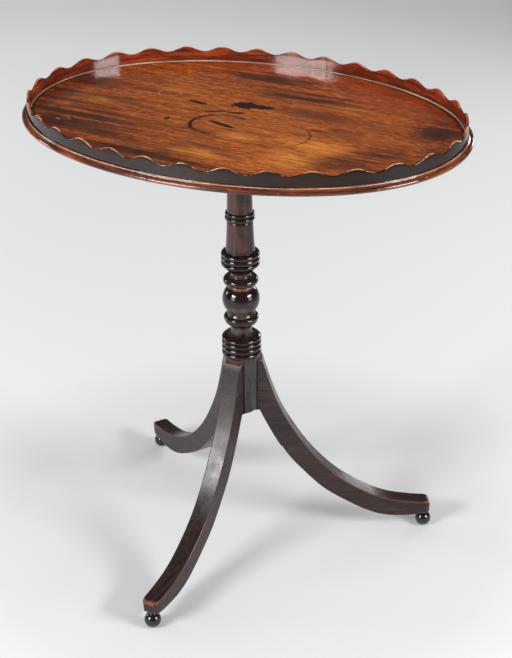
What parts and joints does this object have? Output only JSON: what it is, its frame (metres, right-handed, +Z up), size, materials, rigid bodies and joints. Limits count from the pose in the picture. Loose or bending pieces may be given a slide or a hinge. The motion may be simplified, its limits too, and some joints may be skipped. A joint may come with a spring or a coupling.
{
  "type": "tray top tea table",
  "caption": "Occasional table with an oval tray top and wavy gallery that tips up on a turned column with curved legs and ball feet.",
  "frame": {"origin": "on the floor, on the axis of the column", "axes": "+Z up the column, X along the length of the tray, -Y nearly towards the single leg on the tray's short axis"},
  "size_m": [0.6621, 0.553, 0.711],
  "materials": {
    "tray_mahogany": "polished, faded and stained",
    "gallery_mahogany": "polished",
    "moulding_mahogany": "polished, worn on its nose",
    "stringing": "pale worn bead",
    "dark_mahogany": "dark polish, worn red on the edges",
    "foot_ebonised": "near black polish",
    "underside_wood": "dry, unpolished",
    "brass": "old, dull",
    "wrought_iron": "black, a little rust",
    "screw_steel": "aged"
  },
  "bodies": {
    "base": {"column": "dark_mahogany", "table_block": "underside_wood", "tenon_wedge": "underside_wood", "pivot_pin_left": "underside_wood", "pivot_pin_right": "underside_wood", "keeper_plate": "brass", "keeper_screws": "brass", "leg_brace": "wrought_iron", "leg_brace_screws": "screw_steel", "leg_1": "dark_mahogany", "leg_2": "dark_mahogany", "leg_3": "dark_mahogany", "foot_ball_1": "foot_ebonised", "foot_ball_2": "foot_ebonised", "foot_ball_3": "foot_ebonised"},
    "top": {"tray_board": "tray_mahogany", "gallery_left": "gallery_mahogany", "gallery_right": "gallery_mahogany", "inner_bead": "stringing", "outer_bead": "stringing", "edge_moulding": "moulding_mahogany", "bearer_left": "underside_wood", "bearer_right": "underside_wood", "bearer_screws": "screw_steel", "bolt_plate": "brass", "bolt_plate_screws": "brass"},
    "bolt": {"slide_bolt": "brass", "bolt_knob": "brass"}
  },
  "joints": [
    {"name": "top_tilt", "type": "hinge", "parent": "base", "child": "top", "pos_m": [0, 0.0293, 0.6685], "axis": [-1, 0, 0], "range_deg": [0, 90]},
    {"name": "bolt_slide", "type": "slide", "parent": "top", "child": "bolt", "axis": [0, 1, 0], "range_m": [0, 0.008]}
  ]
}
